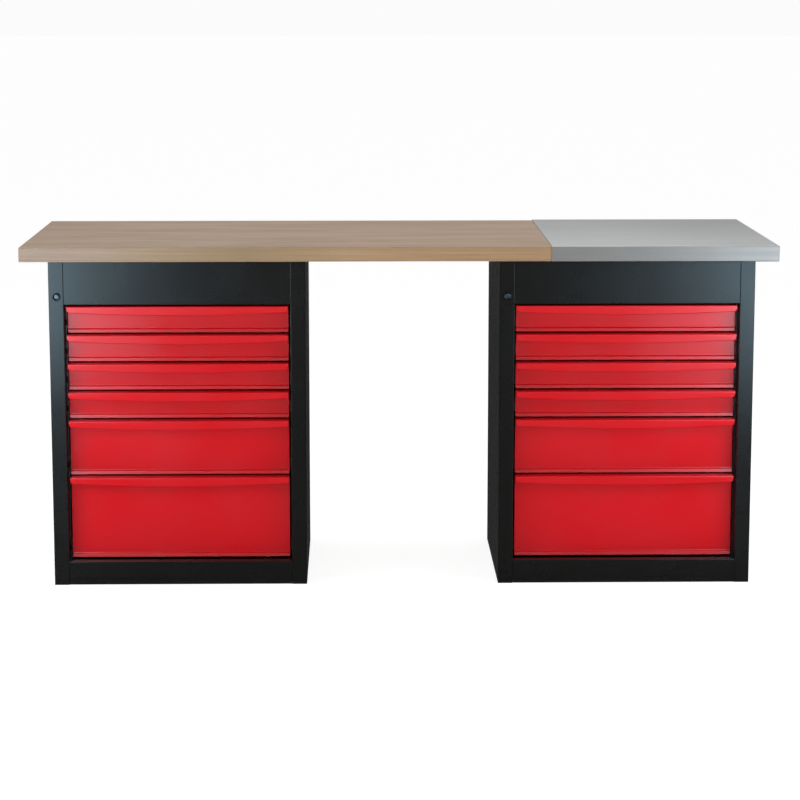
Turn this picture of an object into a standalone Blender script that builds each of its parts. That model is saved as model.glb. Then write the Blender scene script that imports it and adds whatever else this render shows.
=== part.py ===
"""Workbench with two drawer cabinets: a laminated wood worktop, a sheet-steel cover over its right end, and two
folded-steel cabinets with six sliding drawers and a central lock each.

Frame: +Z up, +X along the worktop, the drawers open towards -Y. The origin is on the floor under the middle of the
worktop. Lengths below are in millimetres and are turned into metres when a mesh is made.
"""

import math

import bmesh
import bpy
from mathutils import Matrix, Vector

MM = 0.001
GAP = 0.3                      # clearance left between neighbouring pieces

# ---- whole bench -------------------------------------------------------------------------------------------------
BENCH_LENGTH = 2000.0
BENCH_DEPTH = 750.0
BENCH_HEIGHT = 920.0
CABINET_HEIGHT = 880.0         # underside of the wood above the floor
WOOD_THICKNESS = 38.0
COVER_LENGTH = 600.0           # steel cover, measured from the right end
COVER_SHEET = 1.7
COVER_PROUD = 2.0              # the cover stands this far outside the wood
COVER_RETURN = 25.0            # width of the edge folded under the wood

# ---- one cabinet -------------------------------------------------------------------------------------------------
CABINET_WIDTH = 680.0
CABINET_DEPTH = 550.0
CABINET_SETBACK = 50.0         # cabinet front behind the worktop's front edge
LEFT_CABINET_X = -930.0        # outer left side of the left cabinet
RIGHT_CABINET_X = 266.0        # inner left side of the right cabinet
SHEET = 1.5
STILE = 40.0                   # visible width of the folded front edge of a side panel
STILE_RETURN = 22.0
REAR_FLANGE = 15.0
OPENING_BOTTOM = 65.0
OPENING_TOP = 760.0
PLINTH_FOLD = 16.0             # the front rail steps back below this height

# ---- drawers -----------------------------------------------------------------------------------------------------
DRAWER_TOPS = (756.0, 679.0, 602.0, 525.0, 448.0, 294.0)
FRONT_HEIGHT = {1: 74.0, 2: 151.0, 3: 225.0}      # steps of 77 mm with 3 mm gaps; 4 mm under the lowest front
DRAWER_MODULES = (1, 1, 1, 1, 2, 3)
BOX_HEIGHT = {1: 56.0, 2: 110.0, 3: 160.0}
FRONT_WIDTH = 588.0
GRIP_WIDTH = 586.0
GRIP_REACH = 40.0              # the grip stands this far in front of the drawer's face
GRIP_DROP_MID = 24.0           # height of the grip's lip in the middle and at the ends: its lower edge is an arc
GRIP_DROP_END = 16.0
FLARE_REACH = 5.0              # the bottom edge of each front is swept forward into an upright band
FLARE_HEIGHT = 10.7
BAND_HEIGHT = 8.2
BOX_WIDTH = 572.0
BOX_DEPTH = 463.0
BOX_SHEET = 1.2
BOX_LIFT = 6.0                 # underside of the drawer box above the bottom of its front
RAIL_LIFT = 28.0               # runner centre above the bottom of the drawer front
RUNNER_START = 54.0           # front end of the fixed runners behind the cabinet front
RUNNER_END = 530.0

# ---- lock --------------------------------------------------------------------------------------------------------
LOCK_X = 21.5                  # from the cabinet's left side
LOCK_Z = 782.5
LOCK_RING_R = 11.0
LOCK_BODY_R = 9.0
LOCK_BORE_R = 6.7
LOCK_PLUG_R = 6.3
CAM_RADIUS = 10.0              # the cam's pin circle: a quarter turn lifts the lock bar by this much

# ---- worktop bolts -----------------------------------------------------------------------------------------------
BOLT_X = (90.0, 590.0)
BOLT_Y = (100.0, 450.0)
BOLT_R = 4.0


for leftover in list(bpy.data.objects):
    bpy.data.objects.remove(leftover)


def material(name, rgb, roughness, metallic):
    mat = bpy.data.materials.new(name)
    mat.use_nodes = True
    shader = mat.node_tree.nodes["Principled BSDF"]
    shader.inputs["Base Color"].default_value = (*rgb, 1.0)
    shader.inputs["Roughness"].default_value = roughness
    shader.inputs["Metallic"].default_value = metallic
    mat.diffuse_color = (*rgb, 1.0)
    return mat


ANTHRACITE = material("anthracite_paint", (0.018, 0.020, 0.022), 0.38, 0.0)
RED = material("red_paint", (0.55, 0.012, 0.018), 0.25, 0.0)
GREY_TRAY = material("grey_tray", (0.10, 0.105, 0.11), 0.45, 0.0)
BEECH = material("laminated_beech", (0.42, 0.30, 0.19), 0.55, 0.0)
BRUSHED = material("brushed_steel", (0.55, 0.56, 0.56), 0.32, 1.0)
ZINC = material("zinc_plated_steel", (0.60, 0.61, 0.62), 0.35, 1.0)
CHROME = material("chrome", (0.75, 0.75, 0.76), 0.12, 1.0)


# ---- mesh helpers: every shape is made in millimetres -------------------------------------------------------------
def place(axis, u, v, w):
    """A point with (u, v) in the section plane and w along the extrusion axis."""
    if axis == "X":
        return Vector((w, u, v))
    if axis == "Y":
        return Vector((u, w, v))
    return Vector((u, v, w))


def prism(outline, axis, low, high):
    """An outline in the plane across `axis`, extruded from low to high."""
    bm = bmesh.new()
    first = [bm.verts.new(place(axis, u, v, low)) for u, v in outline]
    last = [bm.verts.new(place(axis, u, v, high)) for u, v in outline]
    bm.faces.new(first)
    bm.faces.new(list(reversed(last)))
    n = len(outline)
    for i in range(n):
        j = (i + 1) % n
        bm.faces.new((first[i], first[j], last[j], last[i]))
    bmesh.ops.recalc_face_normals(bm, faces=bm.faces)
    return bm


def box(x0, x1, y0, y1, z0, z1):
    return prism(((x0, y0), (x1, y0), (x1, y1), (x0, y1)), "Z", z0, z1)


def disc(axis, cu, cv, radius, low, high, sides=16, turn=0.0):
    ring = [
        (cu + radius * math.cos(turn + 2 * math.pi * i / sides), cv + radius * math.sin(turn + 2 * math.pi * i / sides))
        for i in range(sides)
    ]
    return prism(ring, axis, low, high)


def to_object(bm, name="shape"):
    mesh = bpy.data.meshes.new(name)
    bm.to_mesh(mesh)
    bm.free()
    obj = bpy.data.objects.new(name, mesh)
    bpy.context.scene.collection.objects.link(obj)
    return obj


def combine(base, tools, operation):
    """Boolean of a bmesh with others, one after the other; returns a new bmesh."""
    body = to_object(base)
    for tool in tools:
        other = to_object(tool)
        other.hide_render = True
        other.display_type = "WIRE"
        mod = body.modifiers.new("cut", "BOOLEAN")
        mod.operation = operation
        mod.solver = "EXACT"
        mod.object = other
        bpy.context.view_layer.update()
        evaluated = body.evaluated_get(bpy.context.evaluated_depsgraph_get())
        mesh = bpy.data.meshes.new_from_object(evaluated)
        body.modifiers.clear()
        body.data = mesh
        bpy.data.objects.remove(other)
    bm = bmesh.new()
    bm.from_mesh(body.data)
    bpy.data.objects.remove(body)
    bmesh.ops.remove_doubles(bm, verts=bm.verts, dist=0.001)
    bmesh.ops.dissolve_limit(bm, angle_limit=math.radians(0.5), verts=bm.verts, edges=bm.edges)
    bmesh.ops.recalc_face_normals(bm, faces=bm.faces)
    return bm


def join(base, *tools):
    return combine(base, tools, "UNION")


def cut(base, *tools):
    return combine(base, tools, "DIFFERENCE")


def mirrored(bm, middle):
    """The same shape reflected left to right about x = middle."""
    other = bm.copy()
    for v in other.verts:
        v.co.x = 2 * middle - v.co.x
    bmesh.ops.reverse_faces(other, faces=other.faces)
    return other


def mesh_from(bm, name, mat, origin=(0.0, 0.0, 0.0), smooth_deg=None):
    """A finished mesh in metres, with its own zero at `origin`."""
    shift = Vector(origin)
    for v in bm.verts:
        v.co = (v.co - shift) * MM
    mesh = bpy.data.meshes.new(name)
    bm.to_mesh(mesh)
    bm.free()
    mesh.materials.append(mat)
    if smooth_deg is not None:
        mesh.shade_smooth()
        mesh.set_sharp_from_angle(angle=math.radians(smooth_deg))
    return mesh


def put(name, mesh, at=(0.0, 0.0, 0.0), parent=None):
    obj = bpy.data.objects.new(name, mesh)
    bpy.context.scene.collection.objects.link(obj)
    obj.location = Vector(at) * MM
    obj.parent = parent
    return obj


def thick_path(points, thickness):
    """A sheet's section: a path widened by half its thickness to each side, with mitred corners."""
    pts = [Vector(p) for p in points]
    half = thickness / 2
    left, right = [], []
    for i, p in enumerate(pts):
        before = (p - pts[i - 1]).normalized() if i else None
        after = (pts[i + 1] - p).normalized() if i < len(pts) - 1 else None
        a = before or after
        b = after or before
        normal_a = Vector((-a.y, a.x))
        normal_b = Vector((-b.y, b.x))
        mitre = (normal_a + normal_b).normalized()
        reach = half / max(0.4, mitre.dot(normal_a))
        left.append(p + mitre * reach)
        right.append(p - mitre * reach)
    return left + right[::-1]


# ---- worktop ------------------------------------------------------------------------------------------------------
def worktop():
    half = BENCH_LENGTH / 2
    edge = BENCH_DEPTH / 2 - COVER_PROUD
    top = CABINET_HEIGHT + WOOD_THICKNESS
    slab = box(-half, half - COVER_PROUD, -edge, edge, CABINET_HEIGHT, top)
    # the wood is planed a little thinner and narrower where the steel lies over it, so its bare faces end at the
    # steel's edge
    start = half - COVER_LENGTH - GAP
    holes = [
        box(start, half + 5, -edge - 5, edge + 5, top - GAP, top + 5),
        box(start, half + 5, edge - GAP, edge + 5, CABINET_HEIGHT - 5, top + 5),
        box(start, half + 5, -edge - 5, GAP - edge, CABINET_HEIGHT - 5, top + 5),
    ]
    for x0 in (LEFT_CABINET_X, RIGHT_CABINET_X):
        for bx in BOLT_X:
            for by in BOLT_Y:
                holes.append(
                    disc(
                        "Z",
                        x0 + bx,
                        by + CABINET_SETBACK - BENCH_DEPTH / 2,
                        BOLT_R + GAP,
                        CABINET_HEIGHT - 5,
                        CABINET_HEIGHT + 26,
                        12,
                    )
                )
    put("wood_worktop", mesh_from(cut(slab, *holes), "wood_worktop", BEECH))


def steel_cover():
    half = BENCH_LENGTH / 2
    left = half - COVER_LENGTH
    edge = BENCH_DEPTH / 2
    low = CABINET_HEIGHT - COVER_PROUD
    shell = box(left, half, -edge, edge, low, BENCH_HEIGHT)
    hollow = box(
        left - 10, half - COVER_SHEET, -edge + COVER_SHEET, edge - COVER_SHEET, low + COVER_SHEET, BENCH_HEIGHT - COVER_SHEET
    )
    window = box(left - 10, half - COVER_RETURN, -edge + COVER_RETURN, edge - COVER_RETURN, low - 5, low + 5)
    put("steel_cover", mesh_from(cut(shell, hollow, window), "steel_cover", BRUSHED))


# ---- cabinet sheets, in the cabinet's own millimetres: x from its left side, y from its front, z from the floor -----
SIDE_TOP = CABINET_HEIGHT - GAP


def side_panel(with_lock):
    """One sheet: outer wall, front stile, stile return, and a flange at the rear."""
    t = SHEET
    outline = (
        (0, 0),
        (STILE, 0),
        (STILE, STILE_RETURN),
        (STILE - t, STILE_RETURN),
        (STILE - t, t),
        (t, t),
        (t, CABINET_DEPTH - t),
        (REAR_FLANGE, CABINET_DEPTH - t),
        (REAR_FLANGE, CABINET_DEPTH),
        (0, CABINET_DEPTH),
    )
    panel = prism(outline, "Z", 0.0, SIDE_TOP)
    if with_lock:
        panel = cut(panel, disc("Y", LOCK_X, LOCK_Z, LOCK_BODY_R + GAP, -5, 5, 16))
    return panel


def top_fascia():
    """Front cover above the drawers, folded back at its top and bottom."""
    t = SHEET
    top = CABINET_HEIGHT - 2 * GAP
    path = (
        (STILE_RETURN - 2, top - t / 2),
        (t / 2, top - t / 2),
        (t / 2, OPENING_TOP + t / 2),
        (24.0, OPENING_TOP + t / 2),
        (24.0, OPENING_TOP + 12.0),
    )
    return prism([tuple(p) for p in thick_path(path, t)], "X", STILE + GAP, CABINET_WIDTH - STILE - GAP)


def front_rail():
    """Rail under the drawers: a ledge on top, a flush face, and a plinth that steps back near the floor."""
    t = SHEET
    path = (
        (24.0, OPENING_BOTTOM - 10.0),
        (24.0, OPENING_BOTTOM - t / 2),
        (t / 2, OPENING_BOTTOM - t / 2),
        (t / 2, PLINTH_FOLD + 2.0),
        (t / 2 + 2.0, PLINTH_FOLD),
        (t / 2 + 2.0, GAP),
    )
    return prism([tuple(p) for p in thick_path(path, t)], "X", STILE + GAP, CABINET_WIDTH - STILE - GAP)


def base_pan():
    """Cabinet floor: a tray with its edges turned up."""
    x0, x1 = SHEET + GAP, CABINET_WIDTH - SHEET - GAP
    y0, y1 = STILE_RETURN + GAP + 0.3, CABINET_DEPTH - SHEET - GAP - SHEET - GAP
    tray = box(x0, x1, y0, y1, 0.0, 15.0)
    return cut(tray, box(x0 + SHEET, x1 - SHEET, y0 + SHEET, y1 - SHEET, SHEET, 20.0))


def back_panel():
    y1 = CABINET_DEPTH - SHEET - GAP
    return box(SHEET + GAP, CABINET_WIDTH - SHEET - GAP, y1 - SHEET, y1, GAP, CABINET_HEIGHT - 2 * GAP)


def top_plate():
    """Upper cross plate that carries the worktop, with its front and rear edges turned down and four bolt holes."""
    t = SHEET
    top = CABINET_HEIGHT - 2 * GAP
    y0, y1 = STILE_RETURN + 4.6, CABINET_DEPTH - 2 * SHEET - 2 * GAP
    path = ((y0 + t / 2, top - 25.0), (y0 + t / 2, top - t / 2), (y1 - t / 2, top - t / 2), (y1 - t / 2, top - 25.0))
    plate = prism([tuple(p) for p in thick_path(path, t)], "X", SHEET + GAP, CABINET_WIDTH - SHEET - GAP)
    holes = [disc("Z", bx, by, BOLT_R + 0.5, top - 5, top + 5, 12) for bx in BOLT_X for by in BOLT_Y]
    return cut(plate, *holes)


def runner_bank():
    """Left-hand set of fixed runners: six channels on a front and a rear upright, welded together."""
    inner = STILE + 1.4         # channel web, a little inside the stile line
    parts = []
    for y0 in (50.0, 480.0):
        path = ((SHEET + GAP, y0 + 0.75), (inner - 0.45, y0 + 0.75), (inner - 0.45, y0 + 29.25), (SHEET + GAP, y0 + 29.25))
        parts.append(prism([tuple(p) for p in thick_path(path, SHEET)], "Z", 20.0, 752.0))
    for top, n in zip(DRAWER_TOPS, DRAWER_MODULES):
        mid = top - FRONT_HEIGHT[n] + RAIL_LIFT
        path = ((52.2, mid + 14.25), (inner + 0.75, mid + 14.25), (inner + 0.75, mid - 14.25), (52.2, mid - 14.25))
        parts.append(prism([tuple(p) for p in thick_path(path, SHEET)], "Y", RUNNER_START, RUNNER_END))
    return join(parts[2], parts[0], *parts[3:], parts[1])


# ---- drawers: z from the bottom of the drawer front ---------------------------------------------------------------
def drawer_front(height):
    """One pressed sheet: hooked grip lip with an arched lower edge, recessed face, bottom edge swept forward into an upright band."""
    t = SHEET
    face = GRIP_REACH + t / 2
    centre = CABINET_WIDTH / 2
    stations = [-1.0, -0.985, -0.8, -0.6, -0.4, -0.2, 0.0, 0.2, 0.4, 0.6, 0.8, 0.985, 1.0]
    bm = bmesh.new()
    rings = []
    for s in stations:
        drop = GRIP_DROP_END + (GRIP_DROP_MID - GRIP_DROP_END) * (1.0 - s * s)
        if abs(s) == 1.0:
            drop = GRIP_DROP_END - 7.0      # corners of the lip are clipped
        path = (
            (3.2, height - drop),
            (GAP + 0.75, height - 4.0),
            (4.0, height - 0.75),
            (face - 2.5, height - 0.75),
            (face, height - 3.25),
            (face, FLARE_HEIGHT),
            (face - FLARE_REACH + 1.3, BAND_HEIGHT),
            (face - FLARE_REACH, 0.0),
        )
        section = thick_path(path, t)
        # the grip is a touch narrower than the face
        n = len(path)
        ring = []
        for k, p in enumerate(section):
            at = k if k < n else 2 * n - 1 - k
            width = GRIP_WIDTH if at <= 3 else FRONT_WIDTH
            ring.append(bm.verts.new((centre + s * width / 2, p.x, p.y)))
        rings.append(ring)
    m = len(rings[0])
    for a, b in zip(rings, rings[1:]):
        for k in range(m):
            j = (k + 1) % m
            bm.faces.new((a[k], a[j], b[j], b[k]))
    for ring in (rings[0], rings[-1]):
        # close the ends across the sheet's thickness
        half = m // 2
        for k in range(half - 1):
            bm.faces.new((ring[k], ring[k + 1], ring[m - 2 - k], ring[m - 1 - k]))
    bmesh.ops.recalc_face_normals(bm, faces=bm.faces)
    return bm


def drawer_box(height):
    """Open tray with two ledges on each side that run inside the fixed channels."""
    x0 = (CABINET_WIDTH - BOX_WIDTH) / 2
    x1 = x0 + BOX_WIDTH
    y0 = GRIP_REACH + SHEET + GAP
    y1 = y0 + BOX_DEPTH
    t = BOX_SHEET
    tray = box(x0, x1, y0, y1, BOX_LIFT, BOX_LIFT + height)
    tray = cut(tray, box(x0 + t, x1 - t, y0 + t, y1 - t, BOX_LIFT + t, BOX_LIFT + height + 10))
    ledges = []
    for low in (RAIL_LIFT - 11.0, RAIL_LIFT + 9.5):
        ledges.append(box(x0 - 8.0, x0 + 0.6, y0 + 4.0, y1 - 4.0, low, low + 1.5))
        ledges.append(box(x1 - 0.6, x1 + 8.0, y0 + 4.0, y1 - 4.0, low, low + 1.5))
    return join(tray, *ledges)


# ---- lock: x from the cabinet's left side, y from its front, z from the floor --------------------------------------
def lock_housing():
    """Fixed barrel through the stile, with a collar in front and a bore for the plug."""
    barrel = disc("Y", LOCK_X, LOCK_Z, LOCK_BODY_R, -1.0, 22.0, 16)
    collar = disc("Y", LOCK_X, LOCK_Z, LOCK_RING_R, -3.2, -GAP, 24)
    return cut(join(collar, barrel), disc("Y", LOCK_X, LOCK_Z, LOCK_BORE_R, -10.0, 30.0, 16))


def lock_plug():
    """Turning core with a key slot in its face and a square tail for the cam."""
    core = disc("Y", LOCK_X, LOCK_Z, LOCK_PLUG_R, -3.0, 23.0, 16)
    tail = box(LOCK_X - 2.5, LOCK_X + 2.5, 22.5, 27.5, LOCK_Z - 2.5, LOCK_Z + 2.5)
    slot = box(LOCK_X - 0.9, LOCK_X + 0.9, -5.0, 1.0, LOCK_Z - 4.0, LOCK_Z + 4.0)
    return cut(join(core, tail), slot)


def lock_cam():
    """Lever on the plug's tail, with a pin that reaches back into the lock bar's window."""
    lever = box(LOCK_X - 5.5, LOCK_X + CAM_RADIUS + 3.0, 23.4, 25.4, LOCK_Z - 5.0, LOCK_Z + 5.0)
    lever = cut(lever, box(LOCK_X - 2.8, LOCK_X + 2.8, 20.0, 30.0, LOCK_Z - 2.8, LOCK_Z + 2.8))
    pin = disc("Y", LOCK_X + CAM_RADIUS, LOCK_Z, 1.5, 25.0, 31.5, 10)
    return join(lever, pin)


def lock_bar():
    """Vertical bar inside the stile: a window that the cam pin lifts, and a tab at each drawer."""
    y0, y1 = 28.0, 30.0
    strip = box(8.0, 18.0, y0, y1, 86.0, 770.0)
    head = box(8.0, 37.6, y0, y1, LOCK_Z - 16.0, LOCK_Z + 15.0)
    tabs = []
    for top, n in zip(DRAWER_TOPS, DRAWER_MODULES):
        mid = top - FRONT_HEIGHT[n] + RAIL_LIFT
        tabs.append(box(17.0, 44.0, y0, y1, mid - 8.0, mid + 8.0))
    # the pin moves on a circle and the bar on a line, so the window is taller than the pin
    window = box(LOCK_X - 2.2, LOCK_X + CAM_RADIUS + 2.2, 20.0, 40.0, LOCK_Z - 2.2, LOCK_Z + 4.6)
    return cut(join(strip, head, *tabs), window)


def bolt():
    """Hexagon bolt with a washer face, from below through the top plate into the wood; z from the plate's underside."""
    head = disc("Z", 0, 0, 7.5, -6.6, -1.6, 6)
    washer = disc("Z", 0, 0, 8.4, -1.9, -GAP, 12)
    shank = disc("Z", 0, 0, BOLT_R, -0.8, 25.0, 12)
    return join(join(head, washer), shank)


# ---- assembly -----------------------------------------------------------------------------------------------------
worktop()
steel_cover()

meshes = {
    "left_side": mesh_from(side_panel(True), "side_panel_with_lock", ANTHRACITE),
    "right_side": mesh_from(mirrored(side_panel(False), CABINET_WIDTH / 2), "side_panel_plain", ANTHRACITE),
    "top_fascia": mesh_from(top_fascia(), "top_fascia", ANTHRACITE),
    "front_rail": mesh_from(front_rail(), "front_rail", ANTHRACITE),
    "base_pan": mesh_from(base_pan(), "base_pan", ANTHRACITE),
    "back_panel": mesh_from(back_panel(), "back_panel", ANTHRACITE),
    "top_plate": mesh_from(top_plate(), "top_plate", ANTHRACITE),
    "left_runners": mesh_from(runner_bank(), "left_runners", ZINC),
    "right_runners": mesh_from(mirrored(runner_bank(), CABINET_WIDTH / 2), "right_runners", ZINC),
    "lock_housing": mesh_from(lock_housing(), "lock_housing", CHROME, (LOCK_X, 0, LOCK_Z), 40),
    "lock_plug": mesh_from(lock_plug(), "lock_plug", CHROME, (LOCK_X, 0, LOCK_Z), 40),
    "lock_cam": mesh_from(lock_cam(), "lock_cam", ZINC, (LOCK_X, 0, LOCK_Z), 40),
    "lock_bar": mesh_from(lock_bar(), "lock_bar", ZINC, (LOCK_X, 0, LOCK_Z)),
    "bolt": mesh_from(bolt(), "worktop_bolt", ZINC, (0, 0, 0), 40),
}
fronts = {}
boxes = {}
for n in (1, 2, 3):
    fronts[n] = mesh_from(drawer_front(FRONT_HEIGHT[n]), f"drawer_front_{n}", RED, (CABINET_WIDTH / 2, 0, 0), 30)
    boxes[n] = mesh_from(drawer_box(BOX_HEIGHT[n]), f"drawer_box_{n}", GREY_TRAY, (CABINET_WIDTH / 2, 0, 0))

for side, x0 in (("left", LEFT_CABINET_X), ("right", RIGHT_CABINET_X)):
    corner = bpy.data.objects.new(f"{side}_cabinet_corner", None)
    bpy.context.scene.collection.objects.link(corner)
    corner.location = Vector((x0, CABINET_SETBACK - BENCH_DEPTH / 2, 0.0)) * MM
    for key in (
        "left_side",
        "right_side",
        "top_fascia",
        "front_rail",
        "base_pan",
        "back_panel",
        "top_plate",
        "left_runners",
        "right_runners",
    ):
        put(f"{side}_cabinet_{key}", meshes[key], parent=corner)
    for key in ("lock_housing", "lock_plug", "lock_cam", "lock_bar"):
        put(f"{side}_{key}", meshes[key], (LOCK_X, 0, LOCK_Z), corner)
    number = 1
    for by in BOLT_Y:
        for bx in BOLT_X:
            underside = CABINET_HEIGHT - 2 * GAP - SHEET
            put(f"{side}_worktop_bolt_{number}", meshes["bolt"], (bx, by, underside), corner)
            number += 1
    for number, (top, n) in enumerate(zip(DRAWER_TOPS, DRAWER_MODULES), 1):
        at = (CABINET_WIDTH / 2, 0.0, top - FRONT_HEIGHT[n])
        put(f"{side}_drawer_{number}_front", fronts[n], at, corner)
        put(f"{side}_drawer_{number}_box", boxes[n], at, corner)

bpy.context.view_layer.update()
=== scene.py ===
"""Looks of the workbench: refined sheet-metal shells, worktop, drawers and locks around the fixed frame."""
import math

import bmesh
import bpy
from mathutils import Matrix, Vector


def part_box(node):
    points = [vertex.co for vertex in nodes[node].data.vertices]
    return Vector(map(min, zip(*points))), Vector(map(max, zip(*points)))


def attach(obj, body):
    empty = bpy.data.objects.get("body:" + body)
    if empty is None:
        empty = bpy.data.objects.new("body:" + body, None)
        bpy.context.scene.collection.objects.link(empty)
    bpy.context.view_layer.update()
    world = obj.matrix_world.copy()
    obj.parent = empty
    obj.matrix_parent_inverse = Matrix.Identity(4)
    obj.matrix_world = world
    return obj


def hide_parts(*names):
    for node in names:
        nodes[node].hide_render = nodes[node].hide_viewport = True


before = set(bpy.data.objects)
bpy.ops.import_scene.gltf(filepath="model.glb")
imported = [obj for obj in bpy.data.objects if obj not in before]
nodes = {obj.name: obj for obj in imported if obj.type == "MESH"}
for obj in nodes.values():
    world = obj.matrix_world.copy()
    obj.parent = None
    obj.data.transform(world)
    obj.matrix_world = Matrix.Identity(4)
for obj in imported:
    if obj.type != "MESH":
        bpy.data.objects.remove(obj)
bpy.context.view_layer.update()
MM = 0.001

# ====================================================================================================================
# where things are, read from the frame
# ====================================================================================================================
def corners(node):
    lo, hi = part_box(node)
    return [c * 1000.0 for c in lo], [c * 1000.0 for c in hi]


SIDES = ("left", "right")
CAB_X = {s: corners(f"{s}_cabinet_left_side")[0][0] for s in SIDES}          # outer left side of each cabinet
FRONT_Y = corners("left_cabinet_left_side")[0][1]                            # front plane of the cabinets
WIDTH = corners("left_cabinet_right_side")[1][0] - CAB_X["left"]
DEPTH = corners("left_cabinet_left_side")[1][1] - FRONT_Y
SIDE_TOP = corners("left_cabinet_left_side")[1][2]
T = 1.5

# ====================================================================================================================
# materials
# ====================================================================================================================
class Tree:
    """Small helper around a material's node tree."""

    def __init__(self, name):
        self.mat = bpy.data.materials.new(name)
        self.mat.use_nodes = True
        self.t = self.mat.node_tree
        self.t.nodes.clear()
        self.out = self.t.nodes.new("ShaderNodeOutputMaterial")
        self.bsdf = self.t.nodes.new("ShaderNodeBsdfPrincipled")
        self.t.links.new(self.bsdf.outputs[0], self.out.inputs["Surface"])
        self.obj = self.t.nodes.new("ShaderNodeTexCoord").outputs["Object"]

    def node(self, kind, inputs=None, **props):
        n = self.t.nodes.new("ShaderNode" + kind)
        for k, v in props.items():
            setattr(n, k, v)
        for k, v in (inputs or {}).items():
            if isinstance(v, bpy.types.NodeSocket):
                self.t.links.new(v, n.inputs[k])
            else:
                n.inputs[k].default_value = v
        return n

    def scaled(self, sx, sy, sz, vector=None, offset=(0, 0, 0)):
        m = self.node("Mapping", {"Vector": vector or self.obj})
        m.inputs["Scale"].default_value = (sx, sy, sz)
        m.inputs["Location"].default_value = offset
        return m.outputs[0]

    def noise(self, scale, vector=None, detail=2.0, rough=0.5, distort=0.0):
        n = self.node("TexNoise", {"Vector": vector or self.obj, "Scale": scale, "Detail": detail, "Roughness": rough,
                                   "Distortion": distort})
        return n.outputs["Fac"]

    def ramp(self, fac, stops, interpolation="LINEAR"):
        n = self.node("ValToRGB", {"Fac": fac})
        cr = n.color_ramp
        cr.interpolation = interpolation
        while len(cr.elements) > 1:
            cr.elements.remove(cr.elements[-1])
        cr.elements[0].position, cr.elements[0].color = stops[0][0], self._rgba(stops[0][1])
        for p, c in stops[1:]:
            e = cr.elements.new(p)
            e.color = self._rgba(c)
        return n.outputs["Color"]

    @staticmethod
    def _rgba(c):
        if isinstance(c, (int, float)):
            return (c, c, c, 1.0)
        return (*c, 1.0) if len(c) == 3 else tuple(c)

    def mix(self, fac, a, b, blend="MIX"):
        n = self.t.nodes.new("ShaderNodeMix")
        n.data_type = "RGBA"
        n.blend_type = blend
        for key, v in (("Factor", fac), ("A", a), ("B", b)):
            sock = [s for s in n.inputs if s.name == key and s.enabled][0]
            if isinstance(v, bpy.types.NodeSocket):
                self.t.links.new(v, sock)
            elif key == "Factor":
                sock.default_value = v
            else:
                sock.default_value = self._rgba(v)
        return [s for s in n.outputs if s.enabled][0]

    def math(self, op, a, b=0.0, c=0.0, clamp=False):
        n = self.t.nodes.new("ShaderNodeMath")
        n.operation = op
        n.use_clamp = clamp
        for i, v in enumerate((a, b, c)):
            if isinstance(v, bpy.types.NodeSocket):
                self.t.links.new(v, n.inputs[i])
            else:
                n.inputs[i].default_value = v
        return n.outputs[0]

    def remap(self, v, a, b, c, d, smooth=False):
        n = self.node("MapRange", {"Value": v, "From Min": a, "From Max": b, "To Min": c, "To Max": d})
        n.interpolation_type = "SMOOTHSTEP" if smooth else "LINEAR"
        return n.outputs[0]

    def bump(self, height, strength, distance, normal=None):
        n = self.node("Bump", {"Height": height, "Strength": strength, "Distance": distance})
        if normal is not None:
            self.t.links.new(normal, n.inputs["Normal"])
        return n.outputs[0]

    def set(self, **values):
        names = {"color": "Base Color", "rough": "Roughness", "metal": "Metallic", "normal": "Normal", "coat": "Coat Weight",
                 "coat_rough": "Coat Roughness", "spec": "Specular IOR Level", "aniso": "Anisotropic", "tangent": "Tangent",
                 "ior": "IOR", "aniso_rot": "Anisotropic Rotation", "coat_ior": "Coat IOR"}
        for k, v in values.items():
            sock = self.bsdf.inputs[names[k]]
            if isinstance(v, bpy.types.NodeSocket):
                self.t.links.new(v, sock)
            elif k == "color":
                sock.default_value = self._rgba(v)
            else:
                sock.default_value = v
        return self.mat

    def separate(self, vector):
        return self.node("SeparateXYZ", {"Vector": vector}).outputs


def powder_coat(name, dark, light, rough, spec=0.5, coat=0.0, coat_rough=0.1, peel=0.10, speck=0.10, wave=0.0012):
    """Powder-coated sheet steel: near-even colour, tiny flecks, orange peel and the slight waviness of thin sheet."""
    m = Tree(name)
    cloud = m.noise(2.3, detail=3.0)
    base = m.ramp(cloud, ((0.3, dark), (0.7, light)))
    fleck = m.noise(1500.0, detail=1.0)
    base = m.mix(m.remap(fleck, 0.35, 0.65, 0.0, speck), base, tuple(min(1.0, c * 2.2 + 0.01) for c in light))
    peel_h = m.noise(420.0, detail=2.0, rough=0.45)
    fine_h = m.noise(1300.0, detail=1.0)
    height = m.math("ADD", m.math("MULTIPLY", peel_h, 0.75), m.math("MULTIPLY", fine_h, 0.25))
    wave_h = m.noise(3.1, detail=1.0)
    normal = m.bump(height, peel, 0.0002, m.bump(wave_h, 0.10, wave))
    handled = m.noise(7.0, detail=4.0, rough=0.6)
    r = m.remap(handled, 0.3, 0.7, rough - 0.03, rough + 0.04)
    m.set(color=base, rough=r, metal=0.0, spec=spec, coat=coat, coat_rough=coat_rough, normal=normal)
    return m.mat


ANTHRACITE = powder_coat("anthracite_powder_coat", (0.0062, 0.0058, 0.0054), (0.0080, 0.0073, 0.0068), 0.26, spec=0.27, peel=0.065,
                         speck=0.02)
RED = powder_coat("red_powder_coat", (0.500, 0.0020, 0.0066), (0.528, 0.0030, 0.0084), 0.20, spec=0.33, peel=0.08, speck=0.012,
                  wave=0.0006)
TRAY = powder_coat("tray_powder_coat", (0.045, 0.047, 0.050), (0.056, 0.058, 0.061), 0.42, spec=0.45, peel=0.12, speck=0.08)


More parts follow.
